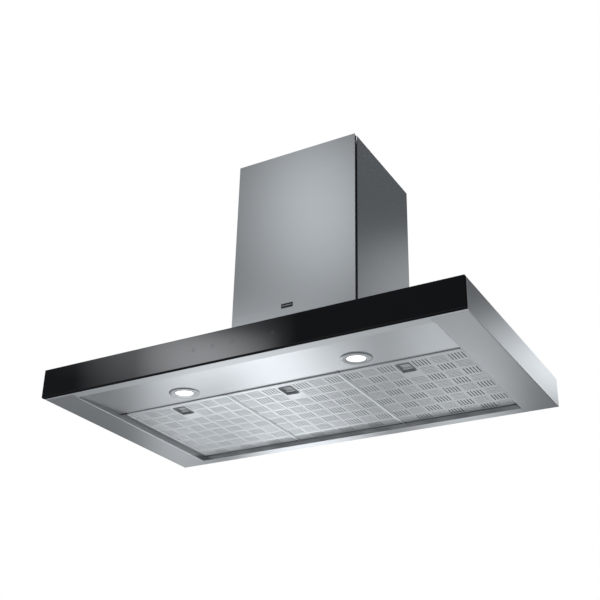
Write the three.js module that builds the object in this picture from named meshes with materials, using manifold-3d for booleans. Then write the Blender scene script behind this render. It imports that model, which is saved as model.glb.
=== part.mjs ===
// A wall-mounted chimney cooker hood: a flat rectangular canopy with a black glass front, two lamps
// and three grease filters underneath, and a square chimney at the rear that hides the blower, the
// outlet collar and a telescopic upper section.
//
// Units are millimetres. X runs along the width, +Y points to the wall, +Z is up. The origin is in the
// middle of the canopy's underside.

import * as THREE from 'three';
import { mergeVertices } from 'three/addons/utils/BufferGeometryUtils.js';
import Module from 'manifold-3d';

const wasm = await Module();
wasm.setup();

// ---------------------------------------------------------------------------
// Driving dimensions
// ---------------------------------------------------------------------------

const GAP = 0.3; // between two pieces that lie against each other
const SHEET = 1; // thickness of the folded steel

const CANOPY = { width: 900, depth: 500, height: 60 };
const SIDE = CANOPY.width / 2;
const FRONT = -CANOPY.depth / 2;
const WALL = CANOPY.depth / 2;

const GLASS_DEPTH = 8;
const TRIM_DEPTH = 6.2;
const RIM_WIDTH = 67; // of the left and right rims, from the side panel to the recess
const FRONT_STRIP_END = FRONT + 30;
const REAR_RIM_START = WALL - 25;
const RECESS_SIDE = SIDE - SHEET - RIM_WIDTH;
const RECESS_WALL_TOP = 26;

const FACE_Z = 10; // underside of the filters above the rims
const LIGHT_PANEL = { frontZ: 2.5, rearZ: 12.4, rear: FRONT + 171, frontFold: 15, rearFold: 24 };
const LAMP = { x: 190, y: FRONT + 123.5, bezel: 30.5, lens: 17.2, can: 26 };

const FILTER = { pitch: 251, width: 246.2, front: FRONT + 171.6, rear: REAR_RIM_START - 2.6, height: 9 };
const FILTER_SHEET = 0.8;
const DIVIDER_WIDTH = 4;
const LATCH = { width: 28, front: FRONT + 188.4, rear: FRONT + 226.6, travel: 6 };

const CHIMNEY = { width: 290, front: FRONT + 210, rear: WALL - 20, top: 578 };
const STRIP_DEPTH = 10; // black strip in each side of the chimney, just behind its front panel
const UPPER = { width: 285, front: CHIMNEY.front + 12, rear: CHIMNEY.rear - 1.5, bottom: 70, top: 575 };

const CASE = { width: 200, front: -21, rear: 206, top: 300 };
const SCROLL = { y: 66, z: 165, least: 73, most: 104, half: 65, wall: 2.5, cutoff: 80, inlet: 54 };
const IMPELLER = { radius: 68, inner: 54, half: 50, blades: 20 };
const MOTOR = { radius: 38, rear: -72, front: -18, shaft: 4 };
const MOTOR_HOLE = { radius: 6, centre: [0, 105, 245] }; // for the motor's cable, into the terminal box
const DUCT = { y: 124, radius: 74.6, bore: 72, top: 345, pinZ: 320 };

// ---------------------------------------------------------------------------
// Solids
// ---------------------------------------------------------------------------

function solidFrom(geometry) {
  const bare = geometry.clone();
  bare.deleteAttribute('normal');
  bare.deleteAttribute('uv');
  const merged = mergeVertices(bare, 1e-4);
  const mesh = new wasm.Mesh({
    numProp: 3,
    vertProperties: merged.attributes.position.array,
    triVerts: new Uint32Array(merged.index.array),
  });
  return new wasm.Manifold(mesh);
}

function geometryFrom(solid) {
  const mesh = solid.getMesh();
  const geometry = new THREE.BufferGeometry();
  geometry.setAttribute('position', new THREE.BufferAttribute(mesh.vertProperties, 3));
  geometry.setIndex(new THREE.BufferAttribute(mesh.triVerts, 1));
  geometry.computeVertexNormals();
  return geometry;
}

// A box between two planes on each axis.
function block([x0, x1], [y0, y1], [z0, z1]) {
  const geometry = new THREE.BoxGeometry(x1 - x0, y1 - y0, z1 - z0);
  geometry.translate((x0 + x1) / 2, (y0 + y1) / 2, (z0 + z1) / 2);
  return solidFrom(geometry);
}

const AXIS_TURN = {
  x: new THREE.Matrix4().makeRotationZ(-Math.PI / 2),
  y: new THREE.Matrix4(),
  z: new THREE.Matrix4().makeRotationX(Math.PI / 2),
};

// A cylinder along an axis, from one plane to another; centre gives its place on all three axes.
function rod(axis, radius, from, to, centre, sides = 32) {
  const geometry = new THREE.CylinderGeometry(radius, radius, to - from, sides);
  geometry.applyMatrix4(AXIS_TURN[axis]);
  const middle = new THREE.Vector3(...centre);
  middle[axis] = (from + to) / 2;
  geometry.translate(middle.x, middle.y, middle.z);
  return solidFrom(geometry);
}

// A turned ring about a vertical axis; the profile is a loop of [radius, height] points.
function ring(profile, centre, sides = 32) {
  const loop = [...profile, profile[0]].map(([r, z]) => new THREE.Vector2(r, z));
  const turned = THREE.ShapeUtils.isClockWise(loop) ? loop.reverse() : loop;
  const geometry = new THREE.LatheGeometry(turned, sides);
  geometry.rotateX(Math.PI / 2);
  geometry.translate(...centre);
  return solidFrom(geometry);
}

// An outline swept along an axis: (y, z) points for x, (x, z) points for y, (x, y) points for z.
function prism(axis, outline, from, to) {
  const shape = new THREE.Shape(outline.map(([a, b]) => new THREE.Vector2(a, b)));
  const geometry = new THREE.ExtrudeGeometry(shape, { depth: to - from, bevelEnabled: false });
  if (axis === 'x') {
    const basis = new THREE.Matrix4().makeBasis(
      new THREE.Vector3(0, 1, 0),
      new THREE.Vector3(0, 0, 1),
      new THREE.Vector3(1, 0, 0),
    );
    geometry.applyMatrix4(basis);
    geometry.translate(from, 0, 0);
  } else if (axis === 'y') {
    geometry.rotateX(Math.PI / 2);
    geometry.translate(0, to, 0);
  } else {
    geometry.translate(0, 0, from);
  }
  return solidFrom(geometry);
}

function join(...solids) {
  return solids.reduce((whole, next) => whole.add(next));
}

function cut(solid, ...tools) {
  return tools.reduce((rest, tool) => rest.subtract(tool), solid);
}

const both = (half) => [-half, half];

// ---------------------------------------------------------------------------
// Materials
// ---------------------------------------------------------------------------

function finish(color, roughness, metalness) {
  return new THREE.MeshStandardMaterial({ color, roughness, metalness, flatShading: true });
}

const MATERIAL = {
  steel: () => finish(0xa9adb0, 0.35, 1),
  glass: () => finish(0x0c1013, 0.08, 0),
  aluminium: () => finish(0xc2c5c7, 0.4, 1),
  galvanised: () => finish(0x9aa0a3, 0.55, 1),
  chrome: () => finish(0xd8dadc, 0.12, 1),
  lens: () => finish(0xf6f4ec, 0.3, 0),
  blackPlastic: () => finish(0x16181a, 0.5, 0),
  greyPlastic: () => finish(0x5c6063, 0.5, 0),
  whitePlastic: () => finish(0xd9dad6, 0.5, 0),
  board: () => finish(0x1d5a35, 0.5, 0),
  spring: () => finish(0xb5b8ba, 0.3, 1),
  cable: () => finish(0x222222, 0.6, 0),
};

const hood = new THREE.Group();

function place(parent, name, solid, material) {
  const mesh = new THREE.Mesh(geometryFrom(solid), MATERIAL[material]());
  mesh.name = name;
  parent.add(mesh);
  return mesh;
}

// ---------------------------------------------------------------------------
// Canopy
// ---------------------------------------------------------------------------

const TRIM_WALL = 1.2;
const TRIM_FRONT = FRONT + GLASS_DEPTH + GAP;
const TRIM_REAR = TRIM_FRONT + TRIM_DEPTH;
const BODY_FRONT = TRIM_REAR + GAP;

function glassFront() {
  const edge = 0.8; // polished chamfer along the front edges
  const back = FRONT + GLASS_DEPTH;
  const top = CANOPY.height;
  const outline = [
    [FRONT, edge],
    [FRONT + edge, 0],
    [back, 0],
    [back, top],
    [FRONT + edge, top],
    [FRONT, top - edge],
  ];
  return prism('x', outline, -SIDE, SIDE);
}

// A shallow tray of steel behind the glass. Its floor widens into the strip in front of the lamps,
// which ends in a fold behind which the light panel starts.
function frontTrim() {
  const wall = TRIM_WALL;
  const outside = block(both(SIDE), [TRIM_FRONT, TRIM_REAR], [0, CANOPY.height]);
  const hollow = block(
    both(SIDE - wall),
    [TRIM_FRONT + wall, TRIM_REAR + 1],
    [wall, CANOPY.height - wall],
  );
  const strip = block(both(RECESS_SIDE - GAP), [TRIM_REAR - 1, FRONT_STRIP_END], [0, wall]);
  const fold = block(
    both(RECESS_SIDE - GAP),
    [FRONT_STRIP_END - SHEET, FRONT_STRIP_END],
    [0, LIGHT_PANEL.frontFold],
  );
  return join(cut(outside, hollow), strip, fold);
}

function sidePanel(side) {
  const flange = 12;
  const top = CANOPY.height;
  const outline = [
    [SIDE, 0],
    [SIDE, top],
    [SIDE - SHEET, top],
    [SIDE - SHEET, top - SHEET - GAP],
    [SIDE - flange, top - SHEET - GAP],
    [SIDE - flange, top - 2 * SHEET - GAP],
    [SIDE - SHEET, top - 2 * SHEET - GAP],
    [SIDE - SHEET, 0],
  ];
  return prism('y', outline.map(([x, z]) => [side * x, z]), BODY_FRONT, WALL);
}

// The underside rim, the recess wall folded up from it, and the ledge beside the outer filter.
function sideRim(side) {
  const outer = SIDE - SHEET - 0.6;
  const inner = RECESS_SIDE;
  const ledge = FILTER.pitch + FILTER.width / 2 + 0.6;
  const floor = [
    [inner, 0],
    [outer, 0],
    [outer, SHEET],
    [inner + SHEET, SHEET],
    [inner + SHEET, RECESS_WALL_TOP],
    [inner, RECESS_WALL_TOP],
  ];
  const folded = prism('y', floor.map(([x, z]) => [side * x, z]), BODY_FRONT, WALL - SHEET - GAP);
  const span = [side * ledge, side * (inner + 0.5)].sort((a, b) => a - b);
  const shelf = block(span, [FILTER.front, REAR_RIM_START - 0.4], [FACE_Z, FACE_Z + SHEET]);
  return join(folded, shelf);
}

function rearRim() {
  const across = both(RECESS_SIDE - GAP);
  const floor = block(across, [REAR_RIM_START, WALL - SHEET - GAP], [0, SHEET]);
  const wall = block(across, [REAR_RIM_START, REAR_RIM_START + SHEET], [0, RECESS_WALL_TOP]);
  return join(floor, wall);
}

const INLET = { half: 88, front: CASE.front + 12, rear: CASE.rear - 12 };

function canopyTop() {
  const plate = block(
    both(SIDE - SHEET - GAP),
    [BODY_FRONT, WALL - SHEET - GAP],
    [CANOPY.height - SHEET, CANOPY.height],
  );
  const inlet = block(both(INLET.half), [INLET.front, INLET.rear], [0, CANOPY.height + 1]);
  return cut(plate, inlet);
}

// The back plate hangs on two wall screws through keyhole slots.
const KEYHOLE = { x: 300, mouthZ: 32, mouth: 6, neckZ: 42, neck: 3 };

function canopyBack() {
  const plate = block(
    both(SIDE - SHEET - GAP),
    [WALL - SHEET, WALL],
    [SHEET + GAP, CANOPY.height - 2 * SHEET - 2 * GAP],
  );
  const through = [WALL - 3, WALL + 3];
  const slots = both(KEYHOLE.x).flatMap((x) => [
    rod('y', KEYHOLE.mouth, ...through, [x, 0, KEYHOLE.mouthZ], 24),
    rod('y', KEYHOLE.neck, ...through, [x, 0, KEYHOLE.neckZ], 16),
    block([x - KEYHOLE.neck, x + KEYHOLE.neck], through, [KEYHOLE.mouthZ, KEYHOLE.neckZ]),
  ]);
  return cut(plate, ...slots);
}

// ---------------------------------------------------------------------------
// Light panel and lamps
// ---------------------------------------------------------------------------

const PANEL_START = FRONT_STRIP_END + 0.5;
const PANEL_SLOPE = (LIGHT_PANEL.rearZ - LIGHT_PANEL.frontZ) / (LIGHT_PANEL.rear - PANEL_START);
const panelZ = (y) => LIGHT_PANEL.frontZ + PANEL_SLOPE * (y - PANEL_START);

function lightPanel() {
  const rear = LIGHT_PANEL.rear;
  const outline = [
    [PANEL_START, LIGHT_PANEL.frontZ],
    [rear, LIGHT_PANEL.rearZ],
    [rear, LIGHT_PANEL.rearFold],
    [rear - SHEET, LIGHT_PANEL.rearFold],
    [rear - SHEET, panelZ(rear) + SHEET],
    [PANEL_START + SHEET, panelZ(PANEL_START) + SHEET],
    [PANEL_START + SHEET, 28],
    [PANEL_START, 28],
  ];
  const sheet = prism('x', outline, -RECESS_SIDE + GAP, RECESS_SIDE - GAP);
  const holes = [-LAMP.x, LAMP.x].map((x) => rod('z', LAMP.can + 1, -2, 25, [x, LAMP.y, 0]));
  const catches = [-1, 0, 1].map((n) =>
    block([n * FILTER.pitch - 7, n * FILTER.pitch + 7], [rear - 2, rear + 1], [13.4, 17.4]));
  return cut(sheet, ...holes, ...catches);
}

// One lamp, built about its own axis with the panel's underside at height 0, then tilted with the panel.
function lamp(side, name) {
  const group = new THREE.Group();
  group.position.set(side * LAMP.x, LAMP.y, panelZ(LAMP.y));
  group.rotation.x = Math.atan(PANEL_SLOPE);
  const bezel = [
    [LAMP.lens + GAP, -1.6],
    [LAMP.bezel - 3, -2.4],
    [LAMP.bezel - 0.8, -1.8],
    [LAMP.bezel, -GAP],
    [LAMP.can - 0.4, -GAP],
    [LAMP.can - 0.4, 4],
    [LAMP.can - 2, 4],
    [LAMP.can - 2, 0.6],
    [LAMP.lens + GAP, 0.6],
  ];
  place(group, `lamp_bezel_${name}`, ring(bezel, [0, 0, 0], 36), 'chrome');
  const lens = join(
    rod('z', LAMP.lens, -1.2, 0.8, [0, 0, 0]),
    rod('z', LAMP.can - 3, 0.9, 2.6, [0, 0, 0]),
    rod('z', LAMP.lens - 1, 0.5, 1.2, [0, 0, 0]),
  );
  place(group, `lamp_lens_${name}`, lens, 'lens');
  const can = cut(
    rod('z', LAMP.can, 4.4, 34, [0, 0, 0], 32),
    rod('z', LAMP.can - 1.5, 3, 32, [0, 0, 0], 32),
  );
  place(group, `lamp_can_${name}`, can, 'blackPlastic');
  hood.add(group);
}

// ---------------------------------------------------------------------------
// Grease filters
// ---------------------------------------------------------------------------

const FILTER_HALF = FILTER.width / 2;
const FILTER_TOP = FACE_Z + FILTER.height;
const CUP = { wall: 1.2, roof: 16.8, top: 18, flange: 3 };
const SLIDER = { half: 10.5, front: LATCH.front + 4.6, rear: LATCH.rear - 10, tongue: 5.8 };

function filterTray() {
  const { front, rear } = FILTER;
  const s = FILTER_SHEET;
  const outside = block(both(FILTER_HALF), [front, rear], [FACE_Z, FILTER_TOP]);
  const hollow = block(both(FILTER_HALF - s), [front + s, rear - s], [FACE_Z + s, FILTER_TOP - s]);
  const mouth = block(both(FILTER_HALF - 7), [front + 7, rear - 7], [FILTER_TOP - 2, FILTER_TOP + 1]);
  const pocket = block(both(LATCH.width / 2 + 0.5), [LATCH.front - 0.5, LATCH.rear + 0.5], [9, 12]);
  const tongueSlot = block(both(SLIDER.tongue + 0.4), [front - 1, front + 1.5], [13.9, 16.9]);
  return cut(outside, hollow, mouth, pocket, tongueSlot);
}

// A pleated sheet of expanded aluminium, with a notch for the latch cup.
function filterMesh() {
  const pleats = 18;
  const start = FILTER.front + 2;
  const end = FILTER.rear - 2;
  const low = FACE_Z + 1.3;
  const high = FILTER_TOP - 2.4;
  const thick = 0.6;
  const line = Array.from({ length: 2 * pleats + 1 }, (_, i) => [
    start + ((end - start) * i) / (2 * pleats),
    i % 2 ? high : low,
  ]);
  const outline = [...line, ...line.map(([y, z]) => [y, z + thick]).reverse()];
  const sheet = prism('x', outline, -FILTER_HALF + 2, FILTER_HALF - 2);
  const notch = block(
    both(LATCH.width / 2 + CUP.flange + 1.5),
    [FILTER.front - 1, LATCH.rear + CUP.flange + 1.5],
    [0, 30],
  );
  return cut(sheet, notch);
}

function latchCup() {
  const half = LATCH.width / 2;
  const flange = block(
    both(half + CUP.flange),
    [LATCH.front - CUP.flange, LATCH.rear + CUP.flange],
    [FACE_Z + FILTER_SHEET + GAP, FACE_Z + FILTER_SHEET + GAP + 1],
  );
  const body = block(both(half), [LATCH.front, LATCH.rear], [FACE_Z, CUP.top]);
  const hollow = block(
    both(half - CUP.wall),
    [LATCH.front + CUP.wall, LATCH.rear - CUP.wall],
    [FACE_Z - 1, CUP.roof],
  );
  const slot = block(both(SLIDER.tongue + 0.4), [LATCH.front - 4, LATCH.front + 2], [13.9, 17]);
  return cut(join(flange, body), hollow, slot);
}

function latchSlider() {
  const { half, front, rear, tongue } = SLIDER;
  return join(
    block(both(half), [front, rear], [15, 16.5]),
    block(both(half), [rear - 2.6, rear], [11.4, 15.5]),
    block(both(half), [front, front + 1.6], [13.4, 15.5]),
    block(both(tongue), [FILTER.front - GAP, front + 1], [14.3, 16.3]),
  );
}

// A compression spring along Y between the slider and the cup's rear wall.
function latchSpring() {
  const turns = 4;
  const coil = 1.3;
  const wire = 0.25;
  const start = SLIDER.rear + 0.3 + wire;
  const end = LATCH.rear - CUP.wall - 0.3 - wire;
  const points = Array.from({ length: turns * 8 + 1 }, (_, i) => {
    const angle = (i * Math.PI) / 4;
    const y = start + ((end - start) * i) / (turns * 8);
    return new THREE.Vector3(coil * Math.cos(angle), y, 13.4 + coil * Math.sin(angle));
  });
  const section = new THREE.Shape(
    Array.from({ length: 5 }, (_, i) => {
      const angle = (i * 2 * Math.PI) / 5;
      return new THREE.Vector2(wire * Math.cos(angle), wire * Math.sin(angle));
    }),
  );
  const path = new THREE.CatmullRomCurve3(points);
  const geometry = new THREE.ExtrudeGeometry(section, { steps: turns * 8, extrudePath: path });
  return solidFrom(geometry);
}

function filter(index, name) {
  const group = new THREE.Group();
  group.position.x = index * FILTER.pitch;
  place(group, `filter_${name}_tray`, filterTray(), 'aluminium');
  place(group, `filter_${name}_mesh`, filterMesh(), 'aluminium');
  place(group, `filter_${name}_latch_cup`, latchCup(), 'greyPlastic');
  place(group, `filter_${name}_latch`, latchSlider(), 'greyPlastic');
  place(group, `filter_${name}_latch_spring`, latchSpring(), 'spring');
  hood.add(group);
}

function divider(side) {
  const middle = (side * FILTER.pitch) / 2;
  return block(
    [middle - DIVIDER_WIDTH / 2, middle + DIVIDER_WIDTH / 2],
    [FILTER.front, REAR_RIM_START - GAP],
    [FACE_Z - 0.4, 24],
  );
}

// ---------------------------------------------------------------------------
// Controls and wiring inside the canopy
// ---------------------------------------------------------------------------

const HOUSING = { half: 125, bottom: 22, top: 50, wall: 1.5 };
const BOARD = { half: 120, bottom: 24.5, top: 47.5, thick: 1.6, standoff: 4 };
const HOUSING_FRONT = TRIM_FRONT + TRIM_WALL + GAP;

function controlHousing() {
  const { half, bottom, top, wall } = HOUSING;
  const rear = FRONT_STRIP_END - 2;
  const outside = block(both(half), [HOUSING_FRONT, rear], [bottom, top]);
  const hollow = block(both(half - wall), [HOUSING_FRONT + wall, rear + 1], [bottom + wall, top - wall]);
  return cut(outside, hollow);
}

function controlBoard() {
  const front = HOUSING_FRONT + HOUSING.wall + BOARD.standoff - GAP;
  return block(both(BOARD.half), [front, front + BOARD.thick], [BOARD.bottom, BOARD.top]);
}

const DRIVER = { x: [228, 318], y: [-62, -22], z: [34, 56.5] };

function lampDriver() {
  const ears = block([DRIVER.x[0] - 9, DRIVER.x[1] + 9], [-50, -34], [56, CANOPY.height - SHEET - GAP]);
  return join(block(DRIVER.x, DRIVER.y, [DRIVER.z[0], 57.5]), ears);
}

function lead(points) {
  const radius = 1.5;
  const path = new THREE.CatmullRomCurve3(points.map((p) => new THREE.Vector3(...p)));
  const section = new THREE.Shape().absarc(0, 0, radius, 0, 2 * Math.PI);
  const options = { steps: 18, curveSegments: 3, extrudePath: path };
  return solidFrom(new THREE.ExtrudeGeometry(section, options));
}

const LEAD_START = LAMP.y + LAMP.can + 3;

const LEAD_ROUTES = {
  left: [
    [-LAMP.x, LEAD_START, 36],
    [-LAMP.x + 4, LEAD_START + 10, 44],
    [-LAMP.x + 30, LEAD_START + 26, 52],
    [-80, -56, 54],
    [80, -56, 54],
    [190, -50, 52],
    [DRIVER.x[0] - 1.5, -46, 50],
  ],
  right: [
    [LAMP.x, LEAD_START, 36],
    [LAMP.x + 3, LEAD_START + 10, 42],
    [LAMP.x + 12, LEAD_START + 30, 44],
    [DRIVER.x[0] - 1.5, -34, 42],
  ],
};

// ---------------------------------------------------------------------------
// Blower
// ---------------------------------------------------------------------------

function blowerCase() {
  const half = CASE.width / 2;
  const base = CANOPY.height + GAP;
  const outside = block(both(half), [CASE.front, CASE.rear], [base, CASE.top]);
  const hollow = block(
    both(half - SHEET),
    [CASE.front + SHEET, CASE.rear - SHEET],
    [base - 1, CASE.top - SHEET],
  );
  const flange = cut(
    block(both(half + 12), [CASE.front - 5, CASE.rear + 12], [base, base + SHEET]),
    block(both(half - SHEET), [CASE.front + SHEET, CASE.rear - SHEET], [base - 1, base + 2]),
  );
  const outlet = rod('z', DUCT.bore - 3, CASE.top - 5, CASE.top + 5, [0, DUCT.y, 0], 40);
  const cableHole = rod('x', MOTOR_HOLE.radius, half - 5, half + 5, MOTOR_HOLE.centre, 16);
  return cut(join(cut(outside, hollow), flange), outlet, cableHole);
}

// The spiral of the scroll, growing from the cut-off to the outlet, and the straight outlet above it.
function scrollOutline(inset, top) {
  const steps = 26;
  const start = THREE.MathUtils.degToRad(SCROLL.cutoff);
  const spiral = Array.from({ length: steps + 1 }, (_, i) => {
    const share = i / steps;
    const angle = start + (2 * Math.PI - start) * share;
    const radius = SCROLL.least + (SCROLL.most - SCROLL.least) * share - inset;
    return [SCROLL.y + radius * Math.cos(angle), SCROLL.z + radius * Math.sin(angle)];
  });
  const throat = SCROLL.y + SCROLL.least * Math.cos(start) + inset;
  return [...spiral, [SCROLL.y + SCROLL.most - inset, top], [throat, top]];
}

function scrollHalf(side) {
  const { half, wall, inlet, y, z } = SCROLL;
  const top = CASE.top - SHEET - 1;
  const span = (a, b) => [side * a, side * b].sort((m, n) => m - n);
  const outside = prism('x', scrollOutline(0, top), ...span(0.15, half));
  const hollow = prism('x', scrollOutline(wall, top + 5), ...span(-1, half - wall));
  const eye = rod('x', inlet, ...span(half - 10, half + 5), [0, y, z], 40);
  return cut(outside, hollow, eye);
}

function impeller() {
  const { radius, inner, half, blades } = IMPELLER;
  const centre = [0, SCROLL.y, SCROLL.z];
  const bore = rod('x', MOTOR.shaft + GAP, -20, 30, centre, 20);
  const plate = rod('x', radius, 0, 2, centre, 30);
  const hub = rod('x', 12, -6, 11, centre, 20);
  const endRing = (from) =>
    cut(rod('x', radius, from, from + 2.5, centre, 30), rod('x', inner, from - 1, from + 4, centre, 30));
  const blade = (index) => {
    const angle = (index * 2 * Math.PI) / blades;
    const geometry = new THREE.BoxGeometry(2 * half - 1, radius - inner - 1, 1.4);
    geometry.rotateX(0.5);
    geometry.translate(0, (radius + inner) / 2, 0);
    geometry.rotateX(angle);
    geometry.translate(...centre);
    return solidFrom(geometry);
  };
  const cage = Array.from({ length: blades }, (_, i) => blade(i));
  return cut(join(plate, hub, endRing(-half), endRing(half - 2.5), ...cage), bore);
}

function motor() {
  const centre = [0, SCROLL.y, SCROLL.z];
  const body = join(
    rod('x', MOTOR.radius, MOTOR.rear, MOTOR.front, centre, 32),
    rod('x', MOTOR.radius - 8, MOTOR.rear - 4, MOTOR.rear + 1, centre, 32),
    rod('x', 10, MOTOR.front - 1, -9, centre, 20),
  );
  return cut(body, rod('x', MOTOR.shaft + GAP, -42, 0, centre, 20));
}

function motorMount() {
  const centre = [0, SCROLL.y, SCROLL.z];
  const from = -SCROLL.half - 3.5;
  const to = -SCROLL.half - GAP;
  const hoop = (outer, inner) =>
    cut(rod('x', outer, from, to, centre, 32), rod('x', inner, from - 1, to + 1, centre, 32));
  const arm = (index) => {
    const geometry = new THREE.BoxGeometry(to - from, 20, 9);
    geometry.translate((from + to) / 2, (MOTOR.radius + SCROLL.inlet) / 2 + 1.5, 0);
    geometry.rotateX((index * 2 * Math.PI) / 3);
    geometry.translate(0, SCROLL.y, SCROLL.z);
    return solidFrom(geometry);
  };
  const arms = cut(join(arm(0), arm(1), arm(2)), rod('x', MOTOR.radius + 1, from - 1, to + 1, centre, 32));
  return join(hoop(MOTOR.radius + 4, MOTOR.radius + GAP), hoop(64, SCROLL.inlet + 2.5), arms);
}

// ---------------------------------------------------------------------------
// Outlet collar and non-return damper
// ---------------------------------------------------------------------------

function outletCollar() {
  const base = CASE.top + GAP;
  const profile = [
    [DUCT.bore, base],
    [92, base],
    [92, base + 2],
    [DUCT.radius, base + 2],
    [DUCT.radius, DUCT.top - 6],
    [DUCT.radius + 1.2, DUCT.top - 4.5],
    [DUCT.radius, DUCT.top - 3],
    [DUCT.radius, DUCT.top],
    [DUCT.bore, DUCT.top],
    [DUCT.bore, 315],
    [DUCT.bore - 4, 315],
    [DUCT.bore - 4, 313],
    [DUCT.bore, 311],
  ];
  const collar = ring(profile, [0, DUCT.y, 0], 36);
  const pinHoles = rod('y', 2.2, DUCT.y - 90, DUCT.y + 90, [0, 0, DUCT.pinZ], 16);
  return cut(collar, pinHoles);
}

// Half a disc that hinges on the pin, with two knuckles; the other flap's knuckles fill the gaps.
function damperFlap(side) {
  const radius = DUCT.bore - 2.5;
  const reach = 4.6;
  const disc = rod('z', radius, 316.6, 317.8, [0, DUCT.y, 0], 40);
  const away = block(side > 0 ? [-100, reach] : [-reach, 100], [-50, 300], [300, 330]);
  const plate = cut(disc, away);
  const stations = side > 0 ? [[-60, -36], [4, 30]] : [[-30, -4], [36, 60]];
  const knuckles = stations.map(([from, to]) => {
    const barrel = rod('y', 3.8, DUCT.y + from, DUCT.y + to, [0, 0, DUCT.pinZ], 16);
    const web = block(
      [side * 1.5, side * (reach + 3)].sort((a, b) => a - b),
      [DUCT.y + from, DUCT.y + to],
      [316.6, 317.8],
    );
    return join(barrel, web);
  });
  const pinBore = rod('y', 2.2, DUCT.y - 90, DUCT.y + 90, [0, 0, DUCT.pinZ], 16);
  return cut(join(plate, ...knuckles), pinBore);
}

// ---------------------------------------------------------------------------
// Mains connection
// ---------------------------------------------------------------------------

const TERMINAL = { inner: CASE.width / 2 + GAP, outer: 132, y: [60, 150], z: [215, 275], wall: 2 };
const GLAND = [116, 85, 0]; // the axis of the cable entry

function terminalBox() {
  const { inner, outer, y, z, wall } = TERMINAL;
  const outside = block([inner, outer], y, z);
  const hollow = block([inner + wall, outer + 1], [y[0] + wall, y[1] - wall], [z[0] + wall, z[1] - wall]);
  const cableHole = rod('z', 5, z[1] - 4, z[1] + 2, GLAND, 20);
  const motorHole = rod('x', MOTOR_HOLE.radius, inner - 1, inner + 3, MOTOR_HOLE.centre, 16);
  return cut(outside, hollow, cableHole, motorHole);
}

function cableGland() {
  const base = TERMINAL.z[1] + GAP;
  const profile = [
    [4, base],
    [9, base],
    [9, base + 3],
    [7, base + 3],
    [7, base + 12],
    [5.5, base + 16],
    [4, base + 16],
  ];
  const nut = cut(rod('z', 9, base + 4, base + 9, GLAND, 6), rod('z', 6, base, base + 12, GLAND, 16));
  return join(ring(profile, GLAND, 16), nut);
}

// ---------------------------------------------------------------------------
// Chimney and wall brackets
// ---------------------------------------------------------------------------

const CHIMNEY_BASE = CANOPY.height + GAP;
const CHIMNEY_SIDE = CHIMNEY.width / 2;

function chimneyFront() {
  return block(both(CHIMNEY_SIDE), [CHIMNEY.front, CHIMNEY.front + SHEET], [CHIMNEY_BASE, CHIMNEY.top]);
}

function chimneySide(side) {
  const flange = 17;
  const front = CHIMNEY.front + SHEET + STRIP_DEPTH + 2 * GAP;
  const outline = [
    [CHIMNEY_SIDE - SHEET, front],
    [CHIMNEY_SIDE, front],
    [CHIMNEY_SIDE, CHIMNEY.rear],
    [CHIMNEY_SIDE - flange, CHIMNEY.rear],
    [CHIMNEY_SIDE - flange, CHIMNEY.rear - SHEET],
    [CHIMNEY_SIDE - SHEET, CHIMNEY.rear - SHEET],
  ];
  return prism('z', outline.map(([x, y]) => [side * x, y]), CHIMNEY_BASE, CHIMNEY.top);
}

function cornerStrip(side) {
  const outer = CHIMNEY_SIDE - 1.6;
  const span = [side * (outer - 4), side * outer].sort((a, b) => a - b);
  const front = CHIMNEY.front + SHEET + GAP;
  return block(span, [front, front + STRIP_DEPTH], [CHIMNEY_BASE, CHIMNEY.top]);
}

// The upper section is one folded sheet, open at the rear, that slides up out of the lower one.
function chimneyUpper() {
  const half = UPPER.width / 2;
  const { front, rear } = UPPER;
  const flangeEnd = 110;
  const right = [
    [half, front],
    [half, rear],
    [flangeEnd, rear],
    [flangeEnd, rear - SHEET],
    [half - SHEET, rear - SHEET],
    [half - SHEET, front + SHEET],
  ];
  const left = right.map(([x, y]) => [-x, y]).reverse();
  return prism('z', [...right, ...left], UPPER.bottom, UPPER.top);
}

const LOWER_BRACKET = { half: 133, earInside: 128.6, earFront: CHIMNEY.rear + GAP, z: [500, 538] };
const UPPER_BRACKET = { half: 122, earInside: 112, earFront: UPPER.rear + GAP, z: [542, 570] };

// A wall plate with an ear at each end that reaches forward to the chimney's rear flange.
function wallBracket({ half, earInside, earFront, z }) {
  const plate = block(both(half), [WALL - 1.5, WALL], z);
  const ears = [-1, 1].map((side) =>
    block([side * earInside, side * half].sort((a, b) => a - b), [earFront, WALL - 1], z));
  return join(plate, ...ears);
}

// ---------------------------------------------------------------------------
// Assembly
// ---------------------------------------------------------------------------

const SIDES = { left: -1, right: 1 };

place(hood, 'glass_front', glassFront(), 'glass');
place(hood, 'front_trim', frontTrim(), 'steel');
place(hood, 'canopy_top', canopyTop(), 'steel');
place(hood, 'canopy_back', canopyBack(), 'galvanised');
place(hood, 'rim_rear', rearRim(), 'steel');
place(hood, 'light_panel', lightPanel(), 'steel');

for (const [name, side] of Object.entries(SIDES)) {
  place(hood, `side_panel_${name}`, sidePanel(side), 'steel');
  place(hood, `rim_${name}`, sideRim(side), 'steel');
  place(hood, `divider_${name}`, divider(side), 'steel');
  lamp(side, name);
  place(hood, `lamp_lead_${name}`, lead(LEAD_ROUTES[name]), 'cable');
}

filter(-1, 'left');
filter(0, 'middle');
filter(1, 'right');

place(hood, 'control_housing', controlHousing(), 'blackPlastic');
place(hood, 'control_board', controlBoard(), 'board');
place(hood, 'lamp_driver', lampDriver(), 'whitePlastic');

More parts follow.
